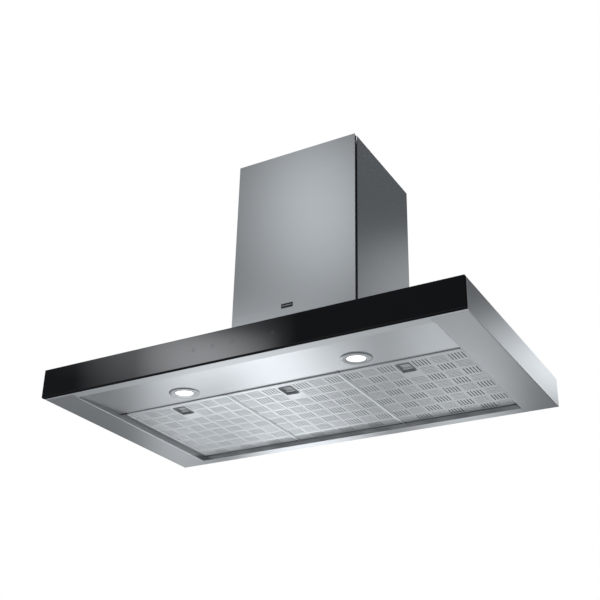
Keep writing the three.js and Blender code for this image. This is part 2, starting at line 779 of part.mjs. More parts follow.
place(hood, 'blower_case', blowerCase(), 'galvanised');
place(hood, 'scroll_left', scrollHalf(-1), 'blackPlastic');
place(hood, 'scroll_right', scrollHalf(1), 'blackPlastic');
place(hood, 'impeller', impeller(), 'whitePlastic');
place(hood, 'motor', motor(), 'galvanised');
place(hood, 'motor_shaft', rod('x', MOTOR.shaft, -38, 10, [0, SCROLL.y, SCROLL.z], 20), 'spring');
place(hood, 'motor_mount', motorMount(), 'galvanised');

place(hood, 'outlet_collar', outletCollar(), 'blackPlastic');
const damperPin = rod('y', 1.8, DUCT.y - 74, DUCT.y + 74, [0, 0, DUCT.pinZ], 12);
place(hood, 'damper_pin', damperPin, 'spring');
place(hood, 'damper_flap_left', damperFlap(-1), 'blackPlastic');
place(hood, 'damper_flap_right', damperFlap(1), 'blackPlastic');

place(hood, 'terminal_box', terminalBox(), 'blackPlastic');
const lid = block([TERMINAL.outer + GAP, TERMINAL.outer + GAP + 1.7], TERMINAL.y, TERMINAL.z);
place(hood, 'terminal_lid', lid, 'blackPlastic');
place(hood, 'cable_gland', cableGland(), 'blackPlastic');

place(hood, 'chimney_front', chimneyFront(), 'steel');
for (const [name, side] of Object.entries(SIDES)) {
  place(hood, `chimney_side_${name}`, chimneySide(side), 'steel');
  place(hood, `corner_strip_${name}`, cornerStrip(side), 'blackPlastic');
}
place(hood, 'chimney_upper', chimneyUpper(), 'steel');
place(hood, 'bracket_lower', wallBracket(LOWER_BRACKET), 'galvanised');
place(hood, 'bracket_upper', wallBracket(UPPER_BRACKET), 'galvanised');

export default hood;
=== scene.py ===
# %% [markdown]
# # A wall-mounted cooker hood
# A flat canopy with a black glass front hangs under a square chimney. Underneath it are a sloping panel
# with two lamps and three grease filters, each with a latch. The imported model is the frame: it says where
# every part is. This lesson gives the parts their finishes, and makes again those whose shape needs more
# than the frame holds.

# %% Load the frame
import math

import bmesh
import bpy
from mathutils import Matrix, Vector
from mathutils.geometry import delaunay_2d_cdt


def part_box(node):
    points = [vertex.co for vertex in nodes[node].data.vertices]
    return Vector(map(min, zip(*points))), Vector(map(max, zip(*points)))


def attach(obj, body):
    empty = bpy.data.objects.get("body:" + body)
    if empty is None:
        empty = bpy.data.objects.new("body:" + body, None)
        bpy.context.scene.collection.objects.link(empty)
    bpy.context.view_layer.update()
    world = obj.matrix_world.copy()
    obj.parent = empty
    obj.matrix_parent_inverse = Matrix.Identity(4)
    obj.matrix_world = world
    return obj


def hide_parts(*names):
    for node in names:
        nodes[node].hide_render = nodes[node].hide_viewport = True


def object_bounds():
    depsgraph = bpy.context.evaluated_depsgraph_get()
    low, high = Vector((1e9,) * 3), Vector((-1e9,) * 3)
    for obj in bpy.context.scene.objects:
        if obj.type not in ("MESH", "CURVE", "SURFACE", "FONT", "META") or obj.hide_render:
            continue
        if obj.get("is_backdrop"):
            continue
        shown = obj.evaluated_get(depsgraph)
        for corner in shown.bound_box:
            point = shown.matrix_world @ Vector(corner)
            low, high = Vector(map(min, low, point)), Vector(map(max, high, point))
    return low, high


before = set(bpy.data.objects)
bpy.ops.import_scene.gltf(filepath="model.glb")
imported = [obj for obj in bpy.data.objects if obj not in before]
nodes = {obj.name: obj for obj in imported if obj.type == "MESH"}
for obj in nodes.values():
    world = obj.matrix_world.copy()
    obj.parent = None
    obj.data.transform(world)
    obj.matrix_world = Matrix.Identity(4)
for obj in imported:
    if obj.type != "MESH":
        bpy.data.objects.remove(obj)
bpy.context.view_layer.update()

# %% [markdown]
# ## Camera
# A hood hangs above eye level, so it is looked at from below and from one side. The lens is a normal one
# for a small product studio, a little over 60 mm on a full-frame sensor. Heading, tilt and roll are kept
# apart here because that is how a tripod head is set.

# %% Camera
CAMERA_PLACE = Vector((0.9787, -1.7028, -0.7635))
CAMERA_HEADING = 29.989
CAMERA_TILT = 26.791
CAMERA_ROLL = 1.3266

camera = bpy.data.objects.new("camera", bpy.data.cameras.new("camera"))
camera.data.lens = 63.27
camera.data.sensor_width = 36
camera.matrix_world = (
    Matrix.Translation(CAMERA_PLACE)
    @ Matrix.Rotation(math.radians(CAMERA_HEADING), 4, "Z")
    @ Matrix.Rotation(math.radians(90 + CAMERA_TILT), 4, "X")
    @ Matrix.Rotation(math.radians(CAMERA_ROLL), 4, "Z")
)
bpy.context.scene.collection.objects.link(camera)
bpy.context.scene.camera = camera

# %% [markdown]
# ## Light
# Brushed steel shows what stands around it, so the studio is built from soft panels. Each flat side of the
# hood mirrors one place in the room, and a panel stands there for it: the place follows from the spot that
# it lights, the way that side faces and how far away the panel is. The panels fade towards their edges, as
# a lamp behind a cloth does, which gives the steel its long gradients. They are hidden from the camera.
# There are three strengths only: one for the main panels, one that fills and one that just touches a side.

# %% Softboxes
def step(tree, kind, settings=None, **inputs):
    """Adds a shader node; an input given as _0 or _1 is meant by its number."""
    node = tree.nodes.new("ShaderNode" + kind)
    for name, value in (settings or {}).items():
        setattr(node, name, value)
    for name, value in inputs.items():
        feed(tree, node, int(name[1:]) if name[1:].isdigit() else name.replace("_", " "), value)
    return node


def feed(tree, node, name, value):
    socket = node.inputs[name]
    if isinstance(value, bpy.types.NodeSocket):
        tree.links.new(value, socket)
    else:
        socket.default_value = value


def times(tree, first, second):
    return step(tree, "Math", {"operation": "MULTIPLY"}, _0=first, _1=second).outputs[0]


def dome(tree, share):
    """0 at both ends of a side and a quarter in its middle."""
    rest = step(tree, "Math", {"operation": "SUBTRACT"}, _0=1.0, _1=share).outputs[0]
    return times(tree, share, rest)


LAMP_COLOUR = (0.96, 0.99, 1.02)
FADE_SCALE = 36  # brings the average of the two domes' product back to 1


def hang(name, light, place, aim=None):
    """Hangs a light that points down, or at a spot, and that the camera doesn't see."""
    panel = bpy.data.objects.new(name, light)
    panel.location = place
    if aim is not None:
        panel.rotation_euler = (aim - place).to_track_quat("-Z", "Y").to_euler()
    panel.visible_camera = False
    bpy.context.scene.collection.objects.link(panel)


def softbox(name, spot, facing, away, width, height, power):
    """A panel that stands where the camera sees the hood mirror it."""
    spot = Vector(spot)
    sight = (spot - CAMERA_PLACE).normalized()
    place = spot + away * sight.reflect(Vector(facing).normalized())
    light = bpy.data.lights.new(name, "AREA")
    light.shape = "RECTANGLE"
    light.size = width
    light.size_y = height
    light.energy = power
    light.color = LAMP_COLOUR
    light.use_nodes = True
    tree = light.node_tree
    on_panel = step(tree, "NewGeometry").outputs["Parametric"]
    sides = step(tree, "SeparateXYZ", _0=on_panel)
    fade = times(tree, dome(tree, sides.outputs["X"]), dome(tree, sides.outputs["Y"]))
    emission = next(node for node in tree.nodes if node.type == "EMISSION")
    feed(tree, emission, "Strength", times(tree, fade, FADE_SCALE))
    hang(name, light, place, spot)


FRONT = (0, -1, 0)
RIGHT = (1, 0, 0)
DOWN = (0, 0, -1)
KEY, FILL, TOUCH = 0.4, 0.2, 0.1
SOFTBOXES = {  # spot, the way the side faces, distance, width, height, strength
    "chimney_middle": ((0.00, -0.04, 0.40), FRONT, 0.8, 0.5, 0.6, FILL),
    "chimney_right": ((0.10, -0.04, 0.40), FRONT, 0.8, 0.4, 0.6, FILL),
    "chimney_side": ((0.15, 0.20, 0.30), RIGHT, 0.8, 0.4, 0.4, TOUCH),
    "glass_wide": ((-0.10, -0.25, 0.00), FRONT, 1.0, 0.6, 0.3, KEY),
    "glass_middle": ((-0.05, -0.25, 0.00), FRONT, 1.0, 0.4, 0.2, KEY),
    "end_middle": ((0.45, 0.05, 0.03), RIGHT, 0.8, 0.5, 0.3, FILL),
    "end_rear": ((0.45, 0.20, 0.03), RIGHT, 0.8, 0.3, 0.3, TOUCH),
    "underside_front": ((0.00, -0.23, 0.00), DOWN, 0.9, 0.5, 0.1, KEY),
    "underside_rear": ((-0.10, 0.24, 0.00), DOWN, 0.9, 0.5, 0.1, KEY),
    "filter_left": ((-0.35, 0.10, 0.00), DOWN, 0.9, 0.3, 0.4, TOUCH),
    "filter_right": ((0.30, 0.10, 0.00), DOWN, 0.9, 0.4, 0.4, FILL),
    "recess_rear": ((0.00, 0.22, 0.00), FRONT, 1.0, 0.6, 0.3, FILL),
}
for box_name, settings in SOFTBOXES.items():
    softbox(box_name, *settings)
print(len(SOFTBOXES), "softboxes")

# %% [markdown]
# ## Room
# The floor is pale and matt and lies a metre and a half under the hood, about where a kitchen floor is. A
# wide light over it makes it glow softly, and the underside of the hood takes its grey from that. The room
# itself is dim, which keeps the glass black, and a view past the hood ends in plain white. One more light
# behind the hood, above it, is for views of its back and its top.

# %% Floor
FLOOR_HEIGHT = -1.55
FLOOR_HALF = 6.0
FLOOR_WASH = 26.0
WASH_SIZE = 5.0
WASH_HEIGHT = -0.85
REAR_FILL = 45.0
REAR_SIZE = 1.6
REAR_PLACE = Vector((-0.6, 1.9, 1.9))
REAR_AIM = Vector((0, 0.1, 0.2))

floor_mesh = bpy.data.meshes.new("floor")
corners = [(-1, -1), (1, -1), (1, 1), (-1, 1)]
floor_points = [(x * FLOOR_HALF, y * FLOOR_HALF, FLOOR_HEIGHT) for x, y in corners]
floor_mesh.from_pydata(floor_points, [], [(0, 1, 2, 3)])
floor = bpy.data.objects.new("floor", floor_mesh)
bpy.context.scene.collection.objects.link(floor)
floor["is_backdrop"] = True

for light_name, light_size, power, place, aim in (
    ("floor_wash", WASH_SIZE, FLOOR_WASH, Vector((0, 0, WASH_HEIGHT)), None),
    ("rear_fill", REAR_SIZE, REAR_FILL, REAR_PLACE, REAR_AIM),
):
    plain = bpy.data.lights.new(light_name, "AREA")
    plain.size = light_size
    plain.energy = power
    hang(light_name, plain, place, aim)

# %% World
ROOM_LIGHT = 0.15
ROOM_COLOUR = (0.92, 0.98, 1.04, 1)

world = bpy.data.worlds.new("room")
bpy.context.scene.world = world
world.use_nodes = True
room = world.node_tree
background = room.nodes["Background"]
feed(room, background, "Color", ROOM_COLOUR)
feed(room, background, "Strength", ROOM_LIGHT)
paper = step(room, "Background", Color=(1, 1, 1, 1), Strength=1.0)
seen = step(room, "LightPath").outputs["Is Camera Ray"]
either = step(room, "MixShader", _0=seen, _1=background.outputs[0], _2=paper.outputs[0])
feed(room, room.nodes["World Output"], "Surface", either.outputs[0])
bpy.context.scene.view_settings.view_transform = "Standard"

# %% [markdown]
# ## Finishes
# A finish is a shader with a few nodes in front of it: a texture that runs along the metal's grain, a
# colour that drifts a little, a roughness that follows the grain and a bump that catches the light. Each
# of them is needed several times, so a small class holds the steps. All textures are read in the piece's
# own coordinates, in metres, so their scale is the real one.

# %% A class for finishes
class Finish:
    """A material, with the node steps that the finishes share."""

    def __init__(self, name, colour, roughness, metallic=0.0):
        self.material = bpy.data.materials.new(name)
        self.material.use_nodes = True
        self.tree = self.material.node_tree
        self.shader = self.tree.nodes["Principled BSDF"]
        self.colour = colour
        self.set("Base Color", (*colour, 1))
        self.set("Roughness", roughness)
        self.set("Metallic", metallic)
        self.where = self.add("TexCoord").outputs["Object"]

    def add(self, kind, settings=None, **inputs):
        return step(self.tree, kind, settings, **inputs)

    def set(self, name, value):
        feed(self.tree, self.shader, name, value)

    def noise(self, stretch, detail=2.0):
        """Noise from 0 to 1; stretch is how many grains go in a metre along each axis."""
        mapped = self.add("Mapping", Vector=self.where, Scale=stretch)
        noise = self.add("TexNoise", Vector=mapped.outputs[0], Scale=1.0, Detail=detail)
        return noise.outputs["Fac"]

    def between(self, value, low, high, start=0.3, end=0.7):
        """Maps a texture's middle range to a range of numbers."""
        span = {"From_Min": start, "From_Max": end, "To_Min": low, "To_Max": high}
        return self.add("MapRange", Value=value, **span).outputs[0]

    def tint(self, value, dark, light):
        """The finish's colour, scaled from dark to light as the value goes from 0.3 to 0.7."""
        ramp = self.add("ValToRGB", Fac=value)
        for stop, place, scale in zip(ramp.color_ramp.elements, (0.3, 0.7), (dark, light)):
            stop.position = place
            stop.color = (*(part * scale for part in self.colour), 1)
        self.set("Base Color", ramp.outputs[0])

    def bump(self, height, strength, distance):
        bump = self.add("Bump", Height=height, Strength=strength, Distance=distance)
        self.set("Normal", bump.outputs[0])


FINE = 900
ALONG = 5


def stretch_for(grain, fine=FINE, along=ALONG):
    """Texture scale with long lines along one axis."""
    return tuple(along if axis == grain else fine for axis in "xyz")


# %% [markdown]
# ### Brushed steel
# The canopy and the chimney are stainless sheet with a brushed face. Belts with fine grit leave scratches
# that all run one way, so the texture is noise that is stretched nearly two hundred times along the grain.
# A slow cloud over it stands for the mill's uneven rolling. The strip under the glass and the light panel are
# of a brighter sheet than the rest.

# %% Brushed steel
COOL = (0.975, 1.0, 1.015)  # stainless steel's own tint


def brushed_steel(name, grain, tone=0.60, roughness=0.30):
    finish = Finish(name, tuple(tone * part for part in COOL), roughness, 1.0)
    scratches = finish.noise(stretch_for(grain), 3.0)
    clouds = finish.noise((4, 4, 4), 2.0)
    both = finish.add("Math", {"operation": "ADD"}, _0=scratches, _1=clouds)
    finish.tint(times(finish.tree, both.outputs[0], 0.5), 0.98, 1.015)
    finish.set("Roughness", finish.between(scratches, roughness - 0.02, roughness + 0.02))
    finish.bump(scratches, 0.01, 0.00002)
    return finish.material


steel_across = brushed_steel("steel_brushed_across", "x")
steel_deep = brushed_steel("steel_brushed_front_to_back", "y")
steel_trim = brushed_steel("steel_satin_trim", "x", 0.72, 0.45)
steel_panel = brushed_steel("steel_light_panel", "x", 0.72, 0.32)
steel_sides = brushed_steel("steel_brushed_chimney_sides", "y", 0.58, 0.28)

# %% [markdown]
# ### Smoothed metal
# The bars between the filters, the beads on the rims, the lamps' rings and all wire and pins are smoothed
# after forming. They keep only fine wipe marks. The bars and beads are given a steel far paler than the
# rest, a painted highlight that makes them read as bright lines.

# %% Smoothed metal
def smoothed(name, grain, tone, roughness):
    finish = Finish(name, tuple(tone * part for part in COOL), roughness, 1.0)
    wiped = finish.noise(stretch_for(grain, 500, 20), 2.0)
    finish.tint(wiped, 0.97, 1.02)
    finish.set("Roughness", finish.between(wiped, roughness * 0.8, roughness * 1.3))
    finish.bump(wiped, 0.04, 0.00003)
    return finish.material


# Nearly white steel for the bars and the rim beads: a painted highlight.
bar_steel_painted_highlight = smoothed("bar_polished_painted_highlight", "y", 0.95, 0.45)
ring_satin = smoothed("ring_satin", "x", 0.55, 0.30)
spring_wire = smoothed("spring_wire", "y", 0.62, 0.25)

# %% [markdown]
# ### Filter aluminium
# The filters are pressed from aluminium sheet and washed often, which leaves them satin with faint clouds.
# The layer inside is expanded mesh: a lattice of small diamonds, drawn here by two crossed waves. Its
# dark grey, far below the sheet's aluminium, is painted shade for the dim inside of the filter, and the
# gaps between the diamonds are darker still as painted shade in the holes.

# %% Aluminium
def satin_aluminium(name, tone=0.72, roughness=0.38):
    finish = Finish(name, tuple(tone * part for part in COOL), roughness, 1.0)
    clouds = finish.noise((14, 14, 14), 4.0)
    rolled = finish.noise((8, 600, 600), 2.0)
    finish.tint(clouds, 0.95, 1.03)
    finish.set("Roughness", finish.between(rolled, roughness - 0.05, roughness + 0.07))
    finish.bump(rolled, 0.08, 0.00005)
    return finish.material


def expanded_mesh(name):
    # A dark grey far below the aluminium's own colour: painted shade for the inside of the filter.
    finish = Finish(name, (0.14, 0.144, 0.148), 0.5, 1.0)
    waves = []
    for turn in (math.radians(32), math.radians(-32)):
        mapped = finish.add("Mapping", Vector=finish.where, Rotation=(0, 0, turn))
        settings = {"wave_type": "BANDS", "bands_direction": "X", "wave_profile": "SIN"}
        wave = finish.add("TexWave", settings, Vector=mapped.outputs[0], Scale=55.0)
        waves.append(wave.outputs["Fac"])
    lattice = finish.add("Math", {"operation": "MAXIMUM"}, _0=waves[0], _1=waves[1]).outputs[0]
    # The gaps between the strands are made darker: painted shade seen through the holes.
    finish.tint(lattice, 0.35, 1.05)
    finish.bump(lattice, 0.6, 0.0008)
    return finish.material


filter_satin = satin_aluminium("filter_satin")
filter_lattice = expanded_mesh("filter_lattice")

# %% [markdown]
# ### Black glass
# The front is float glass printed black on its rear face. It is almost a mirror at a glance, with a trace
# of wiping on it and a faint roll to its surface.

# %% Black glass
def printed_glass(name):
    finish = Finish(name, (0.0025, 0.0035, 0.0045), 0.05)
    wiped = finish.noise((6, 6, 30), 3.0)
    finish.set("Roughness", finish.between(wiped, 0.035, 0.075))
    finish.set("IOR", 1.5)
    finish.tint(wiped, 0.9, 1.15)
    rolled = finish.noise((3, 3, 9), 1.0)
    finish.bump(rolled, 0.03, 0.0004)
    return finish.material


black_glass = printed_glass("black_glass")

# %% [markdown]
# ### Moulded plastic, zinc, board and rubber
# Moulded parts have a fine spark-eroded grain. Zinc-coated sheet shows spangle: flat crystals a few
# millimetres across, each of its own grey, which is what a cell texture gives. The board has its tracks,
# and the leads are matt rubber.

# %% Plastics and the rest
def moulded(name, colour, roughness=0.5):
    finish = Finish(name, colour, roughness)
    grain = finish.noise((1600, 1600, 1600), 2.0)
    clouds = finish.noise((30, 30, 30), 2.0)
    finish.tint(clouds, 0.93, 1.07)
    finish.set("Roughness", finish.between(grain, roughness - 0.07, roughness + 0.07))
    finish.bump(grain, 0.15, 0.00006)
    return finish.material


def zinc_sheet(name):
    finish = Finish(name, (0.52, 0.535, 0.55), 0.45, 1.0)
    spangle = finish.add("TexVoronoi", Vector=finish.where, Scale=140.0)
    grey = finish.add("SeparateColor", Color=spangle.outputs["Color"]).outputs[0]
    finish.tint(grey, 0.86, 1.08)
    finish.set("Roughness", finish.between(grey, 0.36, 0.55, 0.0, 1.0))
    finish.bump(grey, 0.05, 0.0001)
    return finish.material


def circuit_board(name):
    finish = Finish(name, (0.02, 0.11, 0.05), 0.35)
    settings = {"offset": 0.5, "squash": 1.0}
    tracks = finish.add("TexBrick", settings, Vector=finish.where, Scale=160.0)
    feed(finish.tree, tracks, "Mortar Size", 0.06)
    finish.tint(tracks.outputs["Fac"], 1.0, 2.4)
    finish.bump(tracks.outputs["Fac"], 0.3, 0.00005)
    return finish.material


def matt_rubber(name):
    finish = Finish(name, (0.02, 0.02, 0.021), 0.62)
    dust = finish.noise((220, 220, 220), 4.0)
    finish.tint(dust, 0.85, 1.5)
    finish.set("Roughness", finish.between(dust, 0.55, 0.72))
    finish.bump(dust, 0.2, 0.0001)
    return finish.material


black_moulding = moulded("moulding_black", (0.018, 0.018, 0.019))
# The latch cup's grey and the tab's paler grey are lifted well above the plastic's own colour: painted light
# for the shade that the latch sits in. The tab is also lighter than the cup in its own colour.
cup_grey_painted_light = moulded("moulding_grey_painted_light", (0.46, 0.475, 0.49), 0.45)
tab_grey_painted_light = moulded("moulding_tab_painted_light", (0.78, 0.79, 0.80), 0.42)
edge_black = moulded("glass_edge_black", (0.003, 0.0035, 0.004), 0.8)
edge_black.node_tree.nodes["Principled BSDF"].inputs["Specular IOR Level"].default_value = 0.1
light_moulding = moulded("moulding_light", (0.72, 0.72, 0.70))
zinc = zinc_sheet("zinc_spangle")
board_green = circuit_board("board_green")
lead_rubber = matt_rubber("lead_rubber")

# %% [markdown]
# ### Lit lens
# The lamps are on. The lens is frosted, so it glows evenly.

# %% Lit lens
def lit_lens(name, glow):
    finish = Finish(name, (0.95, 0.95, 0.93), 0.35)
    frost = finish.noise((900, 900, 900), 2.0)
    finish.tint(frost, 0.95, 1.0)
    finish.bump(frost, 0.2, 0.0001)
    finish.set("Emission Color", (1.0, 0.985, 0.95, 1))
    finish.set("Emission Strength", glow)
    return finish.material


lens_lit = lit_lens("lens_lit", 2.0)

# %% [markdown]
# ### Floor
# The floor is a pale matt resin floor with a faint cloud in it.

# %% Floor finish
floor_finish = Finish("floor_pale", (0.80, 0.81, 0.82), 0.8)
floor_finish.tint(floor_finish.noise((0.8, 0.8, 0.8), 3.0), 0.97, 1.02)
floor.data.materials.append(floor_finish.material)

# %% Finishes for the frame's own nodes
FILTERS = ("left", "middle", "right")
CARRIED = {
    black_glass: ["glass_front"],
    steel_trim: ["front_trim"],
    steel_panel: ["light_panel"],
    steel_across: ["rim_rear", "canopy_top", "chimney_front"],
    steel_deep: ["side_panel_left", "side_panel_right", "rim_left", "rim_right"],
    bar_steel_painted_highlight: ["divider_left", "divider_right"],
    steel_sides: ["chimney_side_left", "chimney_side_right", "chimney_upper"],
    zinc: ["canopy_back", "blower_case", "motor", "motor_mount", "bracket_lower", "bracket_upper"],
    black_moulding: [
        "control_housing", "outlet_collar", "terminal_box", "terminal_lid", "cable_gland",
        "corner_strip_left", "corner_strip_right", "lamp_can_left", "lamp_can_right",
        "scroll_left", "scroll_right", "damper_flap_left", "damper_flap_right",
    ],
    light_moulding: ["lamp_driver", "impeller"],
    board_green: ["control_board"],
    spring_wire: ["motor_shaft", "damper_pin"] + [f"filter_{name}_latch_spring" for name in FILTERS],
    filter_lattice: [f"filter_{name}_mesh" for name in FILTERS],
    lead_rubber: ["lamp_lead_left", "lamp_lead_right"],
}
for material, names in CARRIED.items():
    for name in names:
        nodes[name].data.materials.clear()
        nodes[name].data.materials.append(material)
print(sum(len(names) for names in CARRIED.values()), "frame nodes finished")

# %% [markdown]
# ## Softened edges
# No real edge is sharp: sheet has a bend radius, glass is ground and a moulding has a fillet. A bevel
# modifier rounds the edges of the frame's own nodes without touching their meshes, and the thin bright
# line that it gives is most of what makes metal look like metal.

# %% Bevels
def soften(name, width, segments=2):
    bevel = nodes[name].modifiers.new("soft_edge", "BEVEL")
    bevel.width = width
    bevel.segments = segments
    bevel.limit_method = "ANGLE"
    bevel.angle_limit = math.radians(40)
    bevel.harden_normals = False


SHEET_EDGE = 0.0003
GLASS_EDGE = 0.0003
DIVIDER_EDGE = 0.0009
MOULDED_EDGE = 0.0005
for name in (
    "front_trim", "light_panel", "rim_rear", "rim_left", "rim_right", "side_panel_left",
    "side_panel_right", "chimney_front", "chimney_side_left", "chimney_side_right",
):
    soften(name, SHEET_EDGE)
for name in ("divider_left", "divider_right"):
    soften(name, DIVIDER_EDGE, 3)
soften("glass_front", GLASS_EDGE)
for name in ("corner_strip_left", "corner_strip_right", "terminal_box", "terminal_lid", "lamp_driver"):
    soften(name, MOULDED_EDGE)

# %% [markdown]
# ## Making pieces
# New pieces are made from points and faces. Two helpers cover most of them: one turns a profile round an
# axis, and one stacks rounded rectangles, which gives plates, cups and buttons with proper corners.

# %% Helpers for new pieces
def piece(name, points, faces, material, body, slot, smooth=False):
    mesh = bpy.data.meshes.new(name)
    mesh.from_pydata(points, [], faces)
    built = bmesh.new()
    built.from_mesh(mesh)
    bmesh.ops.recalc_face_normals(built, faces=built.faces)
    built.to_mesh(mesh)
    built.free()
    mesh.materials.append(material)
    if smooth:
        mesh.shade_smooth()
        mesh.set_sharp_from_angle(angle=math.radians(35))
    made = bpy.data.objects.new(name, mesh)
    bpy.context.scene.collection.objects.link(made)
    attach(made, body)
    return made


def turned(profile, turn, steps=64):
    """Points and faces of a closed profile of (radius, height) turned round +Z, then placed."""
    points, faces = [], []
    count = len(profile)
    for here in range(steps):
        angle = 2 * math.pi * here / steps
        for radius, height in profile:
            points.append(turn @ Vector((radius * math.cos(angle), radius * math.sin(angle), height)))
    for here in range(steps):
        after = (here + 1) % steps
        for i in range(count):
            j = (i + 1) % count
            faces.append((here * count + i, after * count + i, after * count + j, here * count + j))
    return points, faces


def rounded_loop(half_x, half_y, radius, z, centre, arc=4):
    """A rectangle with round corners, as points at one height."""
    loop = []
    for corner, (sx, sy) in enumerate(((1, 1), (-1, 1), (-1, -1), (1, -1))):
        for part in range(arc + 1):
            angle = math.radians(90 * corner + 90 * part / arc)
            x = sx * (half_x - radius) + radius * math.cos(angle)
            y = sy * (half_y - radius) + radius * math.sin(angle)
            loop.append(Vector((centre[0] + x, centre[1] + y, z)))
    return loop


def stacked(sections, centre):
    """A closed form through sections of (half width, half depth, corner radius, height)."""
    points, faces = [], []
    for section in sections:
        points += rounded_loop(*section, centre)
    count = len(points) // len(sections)
    for level in range(len(sections) - 1):
        low, high = level * count, (level + 1) * count
        for i in range(count):
            j = (i + 1) % count
            faces.append((low + i, low + j, high + j, high + i))
    faces.append(tuple(range(count))[::-1])
    faces.append(tuple(range(len(points) - count, len(points))))
    return points, faces


def together(*forms):
    """Several forms as one list of points and one of faces."""
    points, faces = [], []
    for more_points, more_faces in forms:
        start = len(points)
        points += more_points
        faces += [tuple(start + i for i in face) for face in more_faces]
    return points, faces


# %% [markdown]
# ## Filter faces
# Each filter shows a sheet with a basket weave of slots: fields of five slots, turned by a quarter from one
# field to the next. The edge of every slot is pressed down a little, and that raised lip is what catches
# the light. The sheet is drawn flat with a triangulation that respects the slots' outlines, the triangles
# inside the slots are left out, and the lips are moved down. A solidify modifier then gives the sheet its
# thickness.

# %% Slots
FIELD_X, FIELD_Y = 0.035, 0.037
COLUMNS, ROWS = 7, 8
SLOTS, SLOT_PITCH = 5, 0.0064
SLOT_LENGTH = 0.0292
WIDE_SLOT = 0.0018  # of the slots that run front to back
NARROW_SLOT = 0.0016  # of the slots that run across
LIP = 0.0004
LIP_DROP = 0.0002
REAR_FIELD = 0.0154  # from the filter's rear edge to the middle of the last row of fields


def slot_outline(x, y, length, width, upright):
    outline = []
    for end, start in ((1, 0), (-1, 180)):
        for part in range(4):
            angle = math.radians(start + 60 * part)
            across = width / 2 * math.cos(angle)
            along = end * (length - width) / 2 + width / 2 * math.sin(angle)
            outline.append((x + across, y + along) if upright else (x + along, y - across))
    return outline


def slot_places(rear):
    """Middle, length and direction of each slot; x is counted from the filter's middle."""
    for column in range(COLUMNS):
        for row in range(ROWS):
            x = (column - (COLUMNS - 1) / 2) * FIELD_X
            y = rear - REAR_FIELD - row * FIELD_Y
            upright = (column + row) % 2 == 1
            for n in range(SLOTS):
                shift = (n - (SLOTS - 1) / 2) * SLOT_PITCH
                yield (x + shift, y, upright) if upright else (x, y + shift, upright)


def inside(x, y, low, high):
    return low[0] < x < high[0] and low[1] < y < high[1]


# %% Filter faces
EDGE = 0.0038
FACE_RISE = 0.0006
FACE_INSET = 0.0009
KEEP_OFF = 0.005  # from the latch's recess
FLANGE = 0.003  # of the latch cup
GAP = 0.0005  # between the cup and the sheet
SHEET = 0.0005
TOLERANCE = 1e-7


def filter_sheet(tray_low, tray_high, recess_low, recess_high):
    """The slotted sheet of one filter, around its middle, as points and triangles."""
    middle = (tray_low.x + tray_high.x) / 2
    near, far = tray_low.y + FACE_INSET, tray_high.y - FACE_INSET
    half = (tray_high.x - tray_low.x) / 2 - FACE_INSET
    outline = [(-half, near), (half, near), (half, far), (-half, far)]
    coords, regions, drop = list(outline), [list(range(4))], [0.0] * 4
    clear = ((recess_low.x - middle - KEEP_OFF, recess_low.y - KEEP_OFF),
             (recess_high.x - middle + KEEP_OFF, recess_high.y + KEEP_OFF))
    holes = []
    for x, y, upright in slot_places(tray_high.y):
        reach = SLOT_LENGTH / 2
        ends = ((x, y - reach), (x, y + reach)) if upright else ((x - reach, y), (x + reach, y))
        ends += ((x, y),)
        if any(inside(*end, *clear) for end in ends) or y - reach * upright < near + EDGE:
            continue
        width = WIDE_SLOT if upright else NARROW_SLOT
        holes.append((slot_outline(x, y, SLOT_LENGTH, width, upright),
                      slot_outline(x, y, SLOT_LENGTH + 2 * LIP, width + 2 * LIP, upright)))
    pocket = [(recess_low.x - middle, recess_low.y), (recess_high.x - middle, recess_low.y),
              (recess_high.x - middle, recess_high.y), (recess_low.x - middle, recess_high.y)]
    edges = []
    open_regions = set()
    for inner, outer in holes + [(pocket, None)]:
        start = len(coords)
        coords += inner
        drop += [LIP_DROP if outer else 0.0] * len(inner)
        open_regions.add(len(regions))
        regions.append(list(range(start, start + len(inner))))
        if outer:
            ring = len(coords)
            coords += outer
            drop += [0.0] * len(outer)
            edges += [(ring + i, ring + (i + 1) % len(outer)) for i in range(len(outer))]
    cut = delaunay_2d_cdt([Vector(c) for c in coords], edges, regions, 1, TOLERANCE)
    flat, _, triangles, source, _, owners = cut
    points = []
    for place, sources in zip(flat, source):
        fall = max((drop[s] for s in sources), default=0.0)
        points.append(Vector((place.x, place.y, tray_low.z + FACE_RISE - fall)))
    faces = [tri for tri, owned in zip(triangles, owners) if not open_regions.intersection(owned)]
    return points, faces, len(holes)


def filter_frame(tray_low, tray_high):
    """The hem round the sheet: an edge folded under it, the upright wall and the lip on top."""
    wall, lip = 0.0008, 0.007
    low, high = tray_low.z, tray_high.z
    profile = [  # inset from the outer edge, height, corner radius
        (0.0012, low), (0.0004, low + 0.0003), (0.0, low + 0.0012), (0.0, high), (lip, high),
        (lip, high - wall), (wall, high - wall), (wall, low + 0.0016), (EDGE, low + 0.0012),
        (EDGE, low + 0.0002), (EDGE - 0.0003, low),
    ]
    centre = ((tray_low.x + tray_high.x) / 2, (tray_low.y + tray_high.y) / 2)
    half_x = (tray_high.x - tray_low.x) / 2
    half_y = (tray_high.y - tray_low.y) / 2
    points, faces = [], []
    for inset, z in profile:
        radius = max(0.006 - inset, 0.0008)
        points += rounded_loop(half_x - inset, half_y - inset, radius, z, centre)
    count = len(points) // len(profile)
    for level in range(len(profile)):
        here, after = level * count, (level + 1) % len(profile) * count
        for i in range(count):
            j = (i + 1) % count
            faces.append((here + i, here + j, after + j, after + i))
    return points, faces


